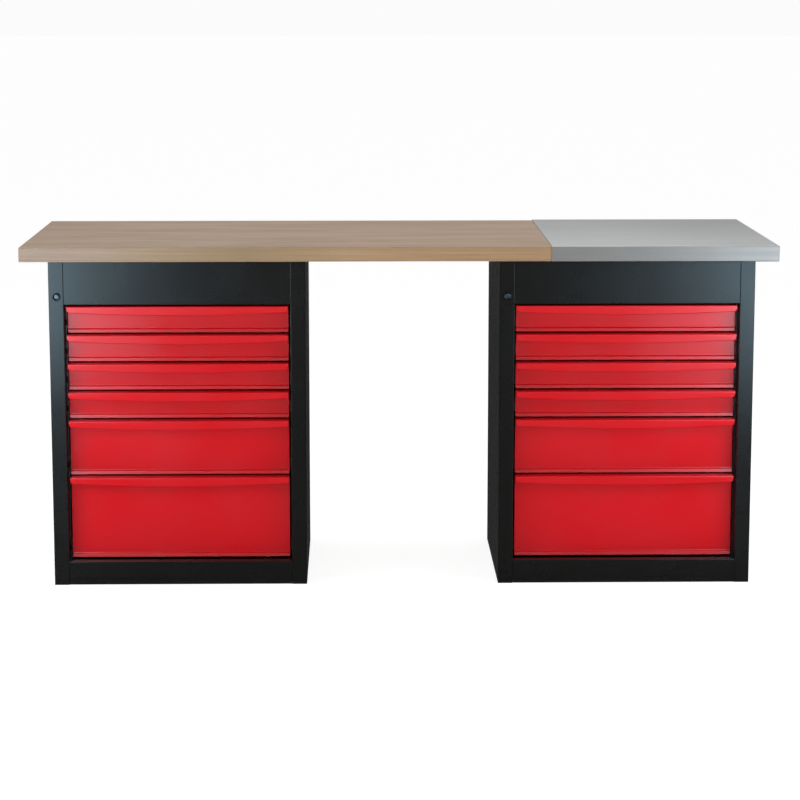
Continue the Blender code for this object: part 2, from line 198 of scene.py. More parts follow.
def beech():
    """Beech multiplex board: veneered faces with long grain and short flecks, plies on every edge."""
    m = Tree("beech_multiplex")
    pos = m.separate(m.obj)
    nrm = m.separate(m.node("NewGeometry").outputs["Normal"])
    # --- faces: long grain along X
    warp = m.noise(2.0, m.scaled(1.0, 3.0, 3.0), detail=2.0)
    shifted = m.node("VectorMath", {0: m.obj, 1: m.node("CombineXYZ", {"X": 0.0, "Y": m.math("MULTIPLY", warp, 0.06), "Z": 0.0}).outputs[0]},
                     operation="ADD").outputs[0]
    broad = m.noise(1.0, m.scaled(2.2, 14.0, 14.0, shifted), detail=4.0, rough=0.55)
    streak = m.noise(1.0, m.scaled(5.0, 150.0, 150.0, shifted), detail=5.0, rough=0.6)
    fine = m.noise(1.0, m.scaled(28.0, 1300.0, 1300.0, shifted), detail=2.0, rough=0.5)
    cloud = m.noise(1.0, m.scaled(3.4, 6.5, 6.5), detail=2.0)
    tone = m.math("ADD", m.math("MULTIPLY", broad, 0.50), m.math("MULTIPLY", streak, 0.30))
    tone = m.math("ADD", tone, m.math("MULTIPLY", fine, 0.20))
    face = m.ramp(tone, ((0.30, (0.262, 0.158, 0.090)), (0.50, (0.345, 0.222, 0.129)), (0.70, (0.412, 0.280, 0.168))))
    face = m.mix(m.remap(cloud, 0.46, 0.66, 0.0, 0.50, True), face, (0.415, 0.252, 0.176))
    # short dark flecks of beech, lens-shaped along the grain
    cells = m.node("TexVoronoi", {"Vector": m.scaled(55.0, 330.0, 330.0, shifted), "Scale": 1.0, "Randomness": 1.0},
                   feature="F1").outputs["Distance"]
    fleck = m.remap(cells, 0.10, 0.24, 1.0, 0.0, True)
    rare = m.remap(m.noise(24.0, detail=1.0), 0.45, 0.6, 0.15, 1.0)
    fleck = m.math("MULTIPLY", fleck, rare)
    face = m.mix(m.math("MULTIPLY", fleck, 0.42), face, (0.175, 0.100, 0.060))
    # --- long edges: plies 2.1 mm thick, alternately along and across the grain
    ply_z = m.math("MULTIPLY", pos["Z"], 1.0 / 0.00212)
    wob = m.noise(1.0, m.scaled(1.6, 1.6, 1.6), detail=1.0)
    ply_z = m.math("ADD", ply_z, m.math("MULTIPLY", wob, 0.5))
    ply = m.math("PINGPONG", ply_z, 1.0)
    across = m.remap(ply, 0.44, 0.56, 0.0, 1.0, True)
    index = m.math("FLOOR", m.math("MULTIPLY", ply_z, 1.0))
    per_ply = m.node("TexWhiteNoise", {"W": index}, noise_dimensions="1D").outputs["Value"]
    edge_streak = m.noise(1.0, m.scaled(5.0, 240.0, 240.0), detail=4.0, rough=0.6)
    edge_fine = m.noise(1.0, m.scaled(45.0, 1800.0, 1800.0), detail=1.0)
    edge_tone = m.math("ADD", m.math("MULTIPLY", edge_streak, 0.6), m.math("MULTIPLY", edge_fine, 0.15))
    edge_tone = m.math("ADD", edge_tone, m.math("MULTIPLY", per_ply, 0.25))
    long_ply = m.ramp(edge_tone, ((0.30, (0.226, 0.133, 0.061)), (0.50, (0.338, 0.216, 0.116)), (0.70, (0.430, 0.298, 0.175))))
    end_dots = m.noise(1.0, m.scaled(900.0, 900.0, 900.0), detail=1.0)
    end_ply = m.ramp(end_dots, ((0.35, (0.200, 0.115, 0.052)), (0.65, (0.300, 0.195, 0.100))))
    edge = m.mix(m.math("MULTIPLY", across, 0.42), long_ply, end_ply)
    glue = m.remap(m.math("PINGPONG", m.math("ADD", ply_z, 0.5), 0.5), 0.0, 0.06, 1.0, 0.0, True)
    edge = m.mix(m.math("MULTIPLY", glue, 0.35), edge, (0.13, 0.075, 0.035))
    # greener towards the middle of the bench, pinker at its ends: boards from different logs
    drift = m.noise(1.0, m.scaled(1.1, 0.4, 0.4, offset=(3.7, 0, 0)), detail=1.0)
    edge = m.mix(m.remap(drift, 0.35, 0.65, 0.0, 0.45), edge, (0.360, 0.244, 0.147), "MIX")
    along = m.math("ADD", pos["X"], m.math("MULTIPLY", m.math("SUBTRACT", m.noise(3.0, detail=1.0), 0.5), 0.10))
    log = m.ramp(m.remap(along, -1.0, 1.0, 0.0, 1.0), ((0.02, (0.70, 0.75, 0.95)), (0.10, (0.76, 0.80, 0.96)), (0.18, (0.73, 0.75, 0.75)),
                                                       (0.30, (0.70, 0.69, 0.60)), (0.42, (0.93, 0.91, 0.85)), (0.56, (0.93, 0.86, 0.80)),
                                                       (0.68, (0.88, 0.80, 0.69)), (1.0, (0.88, 0.82, 0.72))))
    edge = m.mix(1.0, edge, log, "MULTIPLY")
    # --- which face of the board this is
    up = m.math("ABSOLUTE", nrm["Z"])
    is_face = m.remap(up, 0.55, 0.80, 0.0, 1.0, True)
    color = m.mix(is_face, edge, face)
    # oil darkens the sharp arris a little
    top_line = m.remap(pos["Z"], 0.9150, 0.9170, 0.0, 1.0, True)
    arris = m.math("MULTIPLY", top_line, m.remap(up, 0.20, 0.75, 0.0, 1.0, True))
    arris = m.math("MULTIPLY", arris, m.remap(up, 0.93, 0.999, 1.0, 0.0, True))
    color = m.mix(m.math("MULTIPLY", arris, 0.45), color, (0.20, 0.135, 0.085))
    rough = m.remap(tone, 0.3, 0.7, 0.52, 0.40)
    rough = m.math("ADD", rough, m.math("MULTIPLY", m.math("SUBTRACT", 1.0, is_face), 0.12))
    pores = m.math("SUBTRACT", m.math("MULTIPLY", fine, 0.6), m.math("MULTIPLY", fleck, 0.5))
    pores = m.math("ADD", pores, m.math("MULTIPLY", m.math("MULTIPLY", across, m.math("SUBTRACT", 1.0, is_face)), -0.35))
    normal = m.bump(pores, 0.22, 0.0005)
    m.set(color=color, rough=rough, spec=0.30, normal=normal)
    return m.mat


def brushed(name, dark, light, rough, aniso=0.55, lines=0.16):
    """Sheet steel brushed along X."""
    m = Tree(name)
    hair = m.noise(1.0, m.scaled(5.0, 2600.0, 2600.0), detail=3.0, rough=0.6)
    band = m.noise(1.0, m.scaled(1.2, 95.0, 95.0), detail=3.0, rough=0.5)
    cloud = m.noise(4.0, detail=3.0, rough=0.55)
    tone = m.math("ADD", m.math("MULTIPLY", hair, 0.45), m.math("MULTIPLY", band, 0.35))
    tone = m.math("ADD", tone, m.math("MULTIPLY", cloud, 0.20))
    color = m.ramp(tone, ((0.30, dark), (0.70, light)))
    # painted reflection: on the sheet's top faces the colour is brightened towards the front and darkened towards the
    # rear and the outer end, in cloudy patches, standing in for the sheen of the lights there
    pos = m.separate(m.obj)
    patch = m.math("MULTIPLY", m.math("SUBTRACT", m.noise(2.6, detail=2.0), 0.5), 0.55)
    depth = m.math("ADD", m.remap(pos["Y"], -0.375, 0.375, 0.0, 1.0), patch)
    painted_sheen = m.math("ADD", m.remap(depth, 0.0, 1.0, 1.13, 0.86, True), m.remap(pos["X"], 0.55, 1.0, 0.02, -0.15, True))
    up = m.remap(m.separate(m.node("NewGeometry").outputs["Normal"])["Z"], 0.5, 0.9, 0.0, 1.0)
    painted_sheen = m.math("ADD", 1.0, m.math("MULTIPLY", m.math("SUBTRACT", painted_sheen, 1.0), up))
    color = m.node("VectorMath", {0: color, 1: painted_sheen}, operation="MULTIPLY").outputs[0]
    r = m.remap(tone, 0.3, 0.7, rough + 0.06, rough - 0.05)
    scratch = m.node("TexVoronoi", {"Vector": m.scaled(9.0, 210.0, 210.0), "Scale": 1.0}, feature="DISTANCE_TO_EDGE").outputs["Distance"]
    mark = m.remap(scratch, 0.0, 0.010, 1.0, 0.0)
    r = m.math("ADD", r, m.math("MULTIPLY", mark, 0.06))
    normal = m.bump(hair, lines, 0.0003, m.bump(m.noise(2.3, detail=1.0), 0.24, 0.0040))
    tangent = m.node("CombineXYZ", {"X": 1.0, "Y": 0.0, "Z": 0.0}).outputs[0]
    m.set(color=color, rough=r, metal=1.0, normal=normal, tangent=tangent, aniso=aniso)
    return m.mat


def zinc(name="zinc_plated", level=1.0, rough=0.36):
    """Zinc plate: bluish-grey with faint cloudy spangle and fine rolling lines; level scales its colour down."""
    m = Tree(name)
    cell = m.node("TexVoronoi", {"Vector": m.obj, "Scale": 95.0}, feature="F1").outputs["Color"]
    grey = m.separate(cell)["X"]
    cloud = m.noise(16.0, detail=4.0)
    roll = m.noise(1.0, m.scaled(1500.0, 30.0, 30.0), detail=2.0)
    tone = m.math("ADD", m.math("MULTIPLY", grey, 0.22), m.math("MULTIPLY", cloud, 0.60))
    tone = m.math("ADD", tone, m.math("MULTIPLY", roll, 0.18))
    color = m.ramp(tone, [(at, tuple(level * v for v in c)) for at, c in
                          ((0.25, (0.40, 0.42, 0.45)), (0.55, (0.55, 0.57, 0.60)), (0.80, (0.68, 0.69, 0.70)))])
    r = m.remap(tone, 0.25, 0.75, rough + 0.08, rough - 0.08)
    normal = m.bump(m.noise(600.0, detail=2.0), 0.10, 0.0003)
    m.set(color=color, rough=r, metal=1.0, normal=normal)
    return m.mat


def plated(name, dark, light, rough):
    """Dull plated metal of the locks: cloudy tone and fine pits."""
    m = Tree(name)
    pits = m.noise(900.0, detail=2.0)
    cloud = m.noise(180.0, detail=3.0)
    tone = m.math("ADD", m.math("MULTIPLY", pits, 0.4), m.math("MULTIPLY", cloud, 0.6))
    color = m.ramp(tone, ((0.3, dark), (0.7, light)))
    r = m.remap(tone, 0.3, 0.7, rough + 0.08, rough - 0.04)
    normal = m.bump(tone, 0.12, 0.0002)
    m.set(color=color, rough=r, metal=1.0, normal=normal)
    return m.mat


WOOD = beech()
STEEL = brushed("brushed_sheet_steel", (0.435, 0.447, 0.444), (0.585, 0.597, 0.592), 0.34)
ZINC = zinc()
# painted shade: zinc darkened nearly to black for the lock's cam and bar, standing in for the shade of the gap beside
# the drawers where they are seen
GAP_SHADE_ZINC = zinc("zinc_darkened_as_gap_shade", 0.055, 0.46)
NICKEL = plated("dull_nickel", (0.085, 0.078, 0.082), (0.150, 0.140, 0.146), 0.42)
BLACK_NICKEL = plated("black_nickel", (0.016, 0.014, 0.018), (0.030, 0.027, 0.033), 0.34)

# ====================================================================================================================
# mesh helpers: all in millimetres, in the frame's own axes
# ====================================================================================================================
def rounded(points, radii, seg=5):
    """An open path with its inner corners turned into arcs. radii is one number, or one for each inner corner."""
    pts = [Vector((p[0], p[1])) for p in points]
    if isinstance(radii, (int, float)):
        radii = [radii] * (len(pts) - 2)
    out = [pts[0]]
    for i in range(1, len(pts) - 1):
        p, r = pts[i], radii[i - 1]
        a, b = (pts[i - 1] - p), (pts[i + 1] - p)
        la, lb = a.length, b.length
        a, b = a / la, b / lb
        cosang = max(-1.0, min(1.0, a.dot(b)))
        ang = math.acos(cosang)
        if r <= 0 or ang > math.radians(178):
            out.append(p)
            continue
        tan_len = min(r / math.tan(ang / 2), 0.48 * la, 0.48 * lb)
        r = tan_len * math.tan(ang / 2)
        start, end = p + a * tan_len, p + b * tan_len
        centre = p + (a + b).normalized() * (r / math.sin(ang / 2))
        v0, v1 = start - centre, end - centre
        turn = math.atan2(v0.x * v1.y - v0.y * v1.x, v0.dot(v1))
        for k in range(seg + 1):
            th = turn * k / seg
            c, s = math.cos(th), math.sin(th)
            out.append(centre + Vector((v0.x * c - v0.y * s, v0.x * s + v0.y * c)))
    out.append(pts[-1])
    return out


def outline(path, half, cut=0.0, nose=0.4):
    """Closed section of a sheet along a path. cut pulls the path's ends in; nose rounds the sheet's edges."""
    pts = [p.copy() for p in path]
    n = len(pts)
    d0 = (pts[1] - pts[0]).normalized()
    d1 = (pts[-1] - pts[-2]).normalized()
    pts[0] = pts[0] + d0 * cut
    pts[-1] = pts[-1] - d1 * cut
    left, right = [], []
    for i, p in enumerate(pts):
        a = (p - pts[i - 1]).normalized() if i else d0
        b = (pts[i + 1] - p).normalized() if i < n - 1 else d1
        na, nb = Vector((-a.y, a.x)), Vector((-b.y, b.x))
        m = (na + nb)
        m = m.normalized() if m.length > 1e-6 else na
        k = half / max(0.35, m.dot(na))
        left.append(p + m * k)
        right.append(p - m * k)
    e = min(nose, half * 0.9)

    def nose_points(p, d, sign):
        nn = Vector((-d.y, d.x)) * sign
        return [p - d * e * 0.29 + nn * (half - e * 0.29), p + nn * (half - e), p - nn * (half - e), p - d * e * 0.29 - nn * (half - e * 0.29)]

    end_nose = nose_points(pts[-1], d1, 1.0)
    start_nose = nose_points(pts[0], -d0, 1.0)
    left[-1] = left[-1] - d1 * e
    right[-1] = right[-1] - d1 * e
    left[0] = left[0] + d0 * e
    right[0] = right[0] + d0 * e
    return left + end_nose + right[::-1] + start_nose, n


def place(axis, p, w):
    if axis == "X":
        return Vector((w, p.x, p.y))
    if axis == "Y":
        return Vector((p.x, w, p.y))
    return Vector((p.x, p.y, w))


def cap(bm, ring, n):
    """Closes a sheet section with a strip of quads, so that a folded section stays clean."""
    total = len(ring)
    right = list(range(n + 4, 2 * n + 4))[::-1]
    for i in range(n - 1):
        bm.faces.new((ring[i], ring[i + 1], ring[right[i + 1]], ring[right[i]]))
    bm.faces.new([ring[n - 1]] + [ring[n + k] for k in range(4)] + [ring[right[n - 1]]])
    bm.faces.new([ring[right[0]]] + [ring[2 * n + 4 + k] for k in range(4)] + [ring[0]])
    assert total == 2 * n + 8


def skin(bm, rings, closed_ring=True):
    m = len(rings[0])
    for a, b in zip(rings, rings[1:]):
        for k in range(m if closed_ring else m - 1):
            j = (k + 1) % m
            bm.faces.new((a[k], a[j], b[j], b[k]))


def sheet(path, t, axis, lo, hi, edge=0.35, cuts=()):
    """A folded sheet: a path with thickness t, extruded along an axis, with softly rounded cut edges."""
    bm = bmesh.new()
    rings = []
    stations = []
    for a in (90, 45, 0):
        s, c = math.sin(math.radians(a)), math.cos(math.radians(a))
        stations.append((lo + edge * (1 - s), edge * (1 - c)))
    stations = [(lo, edge), (lo + edge * 0.29, edge * 0.29), (lo + edge, 0.0)]
    stations += [(w, 0.0) for w in cuts]
    stations += [(hi - edge, 0.0), (hi - edge * 0.29, edge * 0.29), (hi, edge)]
    n = None
    for w, inset in stations:
        sec, n = outline(path, t / 2 - inset, inset, min(0.4, t * 0.35))
        rings.append([bm.verts.new(place(axis, p, w)) for p in sec])
    skin(bm, rings)
    cap(bm, rings[0], n)
    cap(bm, rings[-1], n)
    bmesh.ops.recalc_face_normals(bm, faces=bm.faces)
    return bm


def lathe(profile, centre, axis="Y", seg=48):
    """Turned solid: profile of (radius, along) pairs, first and last on the axis or closed back to the start."""
    bm = bmesh.new()
    rings = []
    closed = profile[0] == profile[-1]
    pts = profile[:-1] if closed else profile
    for r, w in pts:
        if r < 1e-6:
            v = Vector((0, w, 0)) if axis == "Y" else Vector((0, 0, w))
            rings.append([bm.verts.new(v + Vector(centre))])
            continue
        ring = []
        for k in range(seg):
            a = 2 * math.pi * k / seg
            v = Vector((r * math.cos(a), w, r * math.sin(a))) if axis == "Y" else Vector((r * math.cos(a), r * math.sin(a), w))
            ring.append(bm.verts.new(v + Vector(centre)))
        rings.append(ring)
    pairs = list(zip(rings, rings[1:])) + ([(rings[-1], rings[0])] if closed else [])
    for a, b in pairs:
        if len(a) == 1 and len(b) == 1:
            continue
        for k in range(seg):
            j = (k + 1) % seg
            if len(a) == 1:
                bm.faces.new((a[0], b[j], b[k]))
            elif len(b) == 1:
                bm.faces.new((a[k], a[j], b[0]))
            else:
                bm.faces.new((a[k], a[j], b[j], b[k]))
    bmesh.ops.recalc_face_normals(bm, faces=bm.faces)
    return bm


def block(x0, x1, y0, y1, z0, z1, radius=0.0, seg=3, pick=None):
    """A box, with the edges chosen by pick (or all) rounded."""
    bm = bmesh.new()
    bmesh.ops.create_cube(bm, size=1.0)
    for v in bm.verts:
        v.co = Vector(((x0 + x1) / 2 + v.co.x * (x1 - x0), (y0 + y1) / 2 + v.co.y * (y1 - y0), (z0 + z1) / 2 + v.co.z * (z1 - z0)))
    if radius > 0:
        edges = [e for e in bm.edges if pick is None or pick(e)]
        bmesh.ops.bevel(bm, geom=edges, offset=radius, segments=seg, profile=0.5, affect="EDGES", clamp_overlap=True)
    return bm


def mirror_x(bm, middle):
    for v in bm.verts:
        v.co.x = 2 * middle - v.co.x
    bmesh.ops.reverse_faces(bm, faces=bm.faces)
    return bm


def move(bm, dx=0.0, dy=0.0, dz=0.0):
    bmesh.ops.translate(bm, verts=bm.verts, vec=Vector((dx, dy, dz)))
    return bm


def scratch_object(bm):
    mesh = bpy.data.meshes.new("scratch")
    bm.to_mesh(mesh)
    bm.free()
    o = bpy.data.objects.new("scratch", mesh)
    bpy.context.scene.collection.objects.link(o)
    return o


def boolean(base, tools, operation="DIFFERENCE"):
    """Boolean of one mesh with others; returns a clean bmesh, still in millimetres."""
    body = scratch_object(base)
    for tool in tools:
        other = scratch_object(tool)
        mod = body.modifiers.new("cut", "BOOLEAN")
        mod.operation = operation
        mod.solver = "EXACT"
        mod.object = other
        bpy.context.view_layer.update()
        ev = body.evaluated_get(bpy.context.evaluated_depsgraph_get())
        mesh = bpy.data.meshes.new_from_object(ev)
        body.modifiers.clear()
        body.data = mesh
        bpy.data.objects.remove(other)
    bm = bmesh.new()
    bm.from_mesh(body.data)
    bpy.data.objects.remove(body)
    bmesh.ops.remove_doubles(bm, verts=bm.verts, dist=0.002)
    bmesh.ops.recalc_face_normals(bm, faces=bm.faces)
    return bm


def piece(name, bm, material, body, stands_for=(), smooth=32):
    """A finished piece in metres, riding on its body."""
    for v in bm.verts:
        v.co = v.co * MM
    mesh = bpy.data.meshes.new(name)
    bm.to_mesh(mesh)
    bm.free()
    mesh.materials.append(material)
    if smooth:
        mesh.shade_smooth()
        mesh.set_sharp_from_angle(angle=math.radians(smooth))
    obj = bpy.data.objects.new(name, mesh)
    bpy.context.scene.collection.objects.link(obj)
    if smooth:
        flat = obj.modifiers.new("flat_faces_stay_flat", "WEIGHTED_NORMAL")
        flat.mode = "FACE_AREA"
        flat.weight = 80
        flat.keep_sharp = True
    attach(obj, body)
    if stands_for:
        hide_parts(*stands_for)
    return obj


def refine(node, material, width=0.35, seg=2, angle=40):
    """A CAD node that keeps its shape: softened edges and a procedural material."""
    o = nodes[node]
    o.data.materials.clear()
    o.data.materials.append(material)
    if width:
        b = o.modifiers.new("soft_edges", "BEVEL")
        b.width = width * MM
        b.segments = seg
        b.limit_method = "ANGLE"
        b.angle_limit = math.radians(angle)
        b.use_clamp_overlap = True
        b.harden_normals = False
    return o


# ====================================================================================================================
# worktop
# ====================================================================================================================
wl, wh = corners("wood_worktop")
slab = block(wl[0], wh[0], wl[1], wh[1], wl[2], wh[2] , 1.3, 4)
drills = []
for s in SIDES:
    for i in (1, 2, 3, 4):
        bl, bh = corners(f"{s}_worktop_bolt_{i}")
        cx, cy = (bl[0] + bh[0]) / 2, (bl[1] + bh[1]) / 2
        drills.append(lathe([(0, wl[2] - 5), (4.3, wl[2] - 5), (4.3, wl[2] + 26), (0, wl[2] + 28)], (cx, cy, 0), "Z", 24))
slab = boolean(slab, drills)
piece("worktop_board", slab, WOOD, "root", ("wood_worktop",))

cl, ch = corners("steel_cover")
SHT = 1.7
outer = block(cl[0] - 40, ch[0], cl[1], ch[1], cl[2], ch[2], 2.4, 5)
inner = block(cl[0] - 60, ch[0] - SHT, cl[1] + SHT, ch[1] - SHT, cl[2] + SHT, ch[2] - SHT, 0.7, 2)
window = block(cl[0] - 60, ch[0] - 25.0, cl[1] + 25.0, ch[1] - 25.0, cl[2] - 5, cl[2] + 5, 3.0, 4,
               lambda e: abs(e.verts[0].co.z - e.verts[1].co.z) > 1)
trim = block(cl[0] - 80, cl[0], cl[1] - 20, ch[1] + 20, cl[2] - 20, ch[2] + 20)
cover = boolean(outer, (inner, window, trim))
piece("worktop_steel_cover", cover, STEEL, "root", ("steel_cover",))

# ====================================================================================================================
# cabinets
# ====================================================================================================================
STILE = 40.0
for s in SIDES:
    x0 = CAB_X[s]
    y0 = FRONT_Y
    mid = x0 + WIDTH / 2
    h = T / 2
    # side panels: stile return, stile, outer wall, rear flange, all in one sheet
    pts = [(x0 + STILE - h, y0 + 22), (x0 + STILE - h, y0 + h), (x0 + h, y0 + h), (x0 + h, y0 + DEPTH - h), (x0 + 15, y0 + DEPTH - h)]
    path = rounded(pts, (1.05, 1.9, 1.9), 5)
    lz, lx = (corners(f"{s}_lock_plug")[0][2] + corners(f"{s}_lock_plug")[1][2]) / 2, x0 + 21.5
    panel = sheet(path, T, "Z", 0.0, SIDE_TOP)
    panel = boolean(panel, (lathe([(0, y0 - 6), (9.3, y0 - 6), (9.3, y0 + 6), (0, y0 + 6)], (lx, 0, lz), "Y", 48),))
    piece(f"{s}_cabinet_left_wall", panel, ANTHRACITE, "root", (f"{s}_cabinet_left_side",))
    panel = mirror_x(sheet(path, T, "Z", 0.0, SIDE_TOP), mid)
    piece(f"{s}_cabinet_right_wall", panel, ANTHRACITE, "root", (f"{s}_cabinet_right_side",))
    # fascia over the drawers
    fl, fh = corners(f"{s}_cabinet_top_fascia")
    pts = [(y0 + 20, fh[2] - h), (y0 + h, fh[2] - h), (y0 + h, fl[2] + h), (y0 + 24 , fl[2] + h), (y0 + 24 , fl[2] + 12)]
    bm = sheet(rounded(pts, 1.7, 5), T, "X", fl[0], fh[0])
    piece(f"{s}_cabinet_fascia", bm, ANTHRACITE, "root", (f"{s}_cabinet_top_fascia",))
    # rail under the drawers, with the step of the plinth
    rl, rh = corners(f"{s}_cabinet_front_rail")
    pts = [(y0 + 24, rh[2] - 10), (y0 + 24, rh[2] - h), (y0 + h, rh[2] - h), (y0 + h, 18.5), (y0 + h + 2.0, 16.0), (y0 + h + 2.0, rl[2])]
    bm = sheet(rounded(pts, (1.6, 1.9, 1.5, 1.2), 4), T, "X", rl[0], rh[0])
    piece(f"{s}_cabinet_rail", bm, ANTHRACITE, "root", (f"{s}_cabinet_front_rail",))
    # back panel
    kl, kh = corners(f"{s}_cabinet_back_panel")
    bm = block(kl[0], kh[0], kl[1], kh[1], kl[2], kh[2], 0.4, 2)
    piece(f"{s}_cabinet_back", bm, ANTHRACITE, "root", (f"{s}_cabinet_back_panel",))
    for key, mat, w in (("base_pan", ANTHRACITE, 0.35), ("top_plate", ANTHRACITE, 0.3), ("left_runners", ZINC, 0.3), ("right_runners", ZINC, 0.3)):
        refine(f"{s}_cabinet_{key}", mat, w)
    for i in (1, 2, 3, 4):
        refine(f"{s}_worktop_bolt_{i}", ZINC, 0.4)
    # painted shade: cam and bar get the zinc darkened nearly to black, as the shade of the gap they are seen through
    refine(f"{s}_lock_cam", GAP_SHADE_ZINC, 0.2)
    refine(f"{s}_lock_bar", GAP_SHADE_ZINC, 0.3)

    # ---- lock
    c = (lx, 0, lz)
    f = y0
    prof = [(6.7, f - 1.9), (6.9, f - 2.3), (7.4, f - 2.6), (8.2, f - 2.75), (8.8, f - 3.15), (9.6, f - 3.2), (10.4, f - 2.9), (10.85, f - 2.2),
            (11.0, f - 1.3), (11.0, f - 0.5), (10.85, f - 0.3), (9.0, f - 0.3), (9.0, f + 21.6), (8.6, f + 22.0), (6.9, f + 22.0),
            (6.7, f + 21.8), (6.7, f - 1.9)]
    piece(f"{s}_lock_collar", lathe(prof, c, "Y", 64), BLACK_NICKEL, "root", (f"{s}_lock_housing",))
    prof = [(0, f - 2.5), (4.9, f - 2.5), (5.5, f - 2.35), (6.0, f - 1.95), (6.3, f - 1.3), (6.3, f + 22.6), (5.9, f + 23.0), (0, f + 23.0)]
    core = lathe(prof, c, "Y", 64)
    tail = block(lx - 2.5, lx + 2.5, f + 22.5, f + 27.5, lz - 2.5, lz + 2.5, 0.3, 2)
    core = boolean(core, (tail,), "UNION")
    slot_cut = block(lx - 0.85, lx + 0.85, f - 6, f + 1.5, lz - 4.0, lz + 4.0, 0.3, 2)
    dish = lathe([(0, f - 6), (2.4, f - 6), (2.4, f - 2.2), (0, f - 2.2)], c, "Y", 48)
    core = boolean(core, (dish, slot_cut))
    piece(f"{s}_lock_key_plug", core, NICKEL, f"{s}_lock_core", (f"{s}_lock_plug",), 28)

# ====================================================================================================================
# drawers
# ====================================================================================================================
GRIP_W, FACE_W = 586.0, 588.0


def front_mesh(x_mid, y_front, z_low, height):
    """Pressed front: hemmed grip lip with an arched lower edge, recessed face, bottom edge swept forward into an upright band."""
    t = T
    face = 40.0 + t / 2
    bm = bmesh.new()
    half_w = FACE_W / 2
    xs = [half_w, half_w - 0.11, half_w - 0.4, half_w - 1.2, half_w - 2.4, half_w - 3.6, half_w - 4.8, half_w - 6.5, half_w - 12.0]
    inner = 22
    stations = [-x for x in xs] + [-(half_w - 12.0) + (2 * (half_w - 12.0)) * (k / inner) for k in range(1, inner)] + xs[::-1]
    rings = []
    n = None
    for x in stations:
        sx = abs(x) / half_w
        edge = half_w - abs(x)
        inset = 0.4 if edge < 0.05 else (0.12 if edge < 0.2 else 0.0)
        drop = 16.0 + 8.0 * (1.0 - min(1.0, sx) ** 2)
        if edge < 4.8:
            drop = 9.0 + (drop - 9.0) * math.sin(math.pi / 2 * edge / 4.8) ** 0.8
        H = height
        lean = 0.3 * drop / 24.0
        low = H - drop
        pts = [(0.3 + t / 2 + lean + 2.3, low + 6.5), (0.3 + t / 2 + lean + 2.3, low + 0.2 - 0.2), (0.3 + t / 2 + lean, low), (0.3 + t / 2, H - t / 2), (face, H - t / 2)]
        pts += [(face, 10.66), (face - 3.6, 8.15), (face - 4.9, 0.0)]
        path = rounded(pts, [1.15, 1.15, 3.0, 2.6, 7.0, 1.5], 6)
        sec, n = outline(path, t / 2 - inset, inset, 0.4)
        ring = []
        for p in sec:
            k = min(1.0, max(0.0, p.x / face))
            w = GRIP_W + (FACE_W - GRIP_W) * k
            ring.append(bm.verts.new((x_mid + x * w / FACE_W, y_front + p.x, z_low + p.y)))
        rings.append(ring)
    skin(bm, rings)
    cap(bm, rings[0], n)
    cap(bm, rings[-1], n)
    bmesh.ops.recalc_face_normals(bm, faces=bm.faces)
    return bm


def rounded_rect(x0, x1, y0, y1, r, z, seg=5):
    pts = []
    for cx, cy, a0 in ((x1 - r, y1 - r, 0), (x0 + r, y1 - r, 90), (x0 + r, y0 + r, 180), (x1 - r, y0 + r, 270)):
        for k in range(seg + 1):
            a = math.radians(a0 + 90 * k / seg)
            pts.append(Vector((cx + r * math.cos(a), cy + r * math.sin(a), z)))
    return pts


def tray_mesh(x0, x1, y0, y1, z0, height):
    """Open drawer box: folded walls, hemmed rim, rounded corners."""
    prof = [(2.2, 0.0), (0.75, 0.45), (0.0, 2.2), (0.0, height - 1.2), (0.35, height - 0.35), (1.2, height), (1.7, height), (2.5, height - 0.35),
            (2.8, height - 1.1), (2.8, height - 8.0), (2.5, height - 8.5), (1.25, height - 8.7), (1.2, height - 9.3), (1.2, 3.2), (1.7, 1.9), (3.0, 1.2)]
    bm = bmesh.new()
    rings = []
    for inset, z in prof:
        pts = rounded_rect(x0 + inset, x1 - inset, y0 + inset, y1 - inset, max(0.6, 3.2 - inset * 0.8), z0 + z)
        rings.append([bm.verts.new(p) for p in pts])
    skin(bm, rings)
    bm.faces.new(rings[0])
    bm.faces.new(rings[-1])
    bmesh.ops.recalc_face_normals(bm, faces=bm.faces)
    return bm


RAIL = 28.0
for s in SIDES:
    x0 = CAB_X[s]
    mid = x0 + WIDTH / 2
    for i in range(1, 7):
        body = f"{s}_drawer_{i}"
        fl, fh = corners(f"{s}_drawer_{i}_front")
        bl, bh = corners(f"{s}_drawer_{i}_box")
        zb, height = fl[2], fh[2] - fl[2]
        zb = round(zb)
        bm = front_mesh(mid, FRONT_Y, zb, round(fh[2]) - zb)
        piece(f"{s}_drawer_{i}_fascia", bm, RED, body, (f"{s}_drawer_{i}_front",))
        bx0, bx1 = mid - 286.0, mid + 286.0
        bm = tray_mesh(bx0, bx1, bl[1], bh[1], bl[2], bh[2] - bl[2])
        piece(f"{s}_drawer_{i}_tray", bm, TRAY, body, (f"{s}_drawer_{i}_box",))
        # the drawer's own runner members, one on each side
        zc = zb + RAIL
        pts = [(bx0 - 0.4, zc - 10.2), (bx0 - 7.3, zc - 10.2), (bx0 - 7.3, zc + 10.2), (bx0 - 0.4, zc + 10.2)]
        path = rounded(pts, 1.6, 4)
        bm = sheet(path, 1.2, "Y", bl[1] + 4.0, bh[1] - 4.0, 0.25)
        piece(f"{s}_drawer_{i}_rail_a", bm, ZINC, body, ())
        bm = mirror_x(sheet(path, 1.2, "Y", bl[1] + 4.0, bh[1] - 4.0, 0.25), mid)
        piece(f"{s}_drawer_{i}_rail_b", bm, ZINC, body, ())

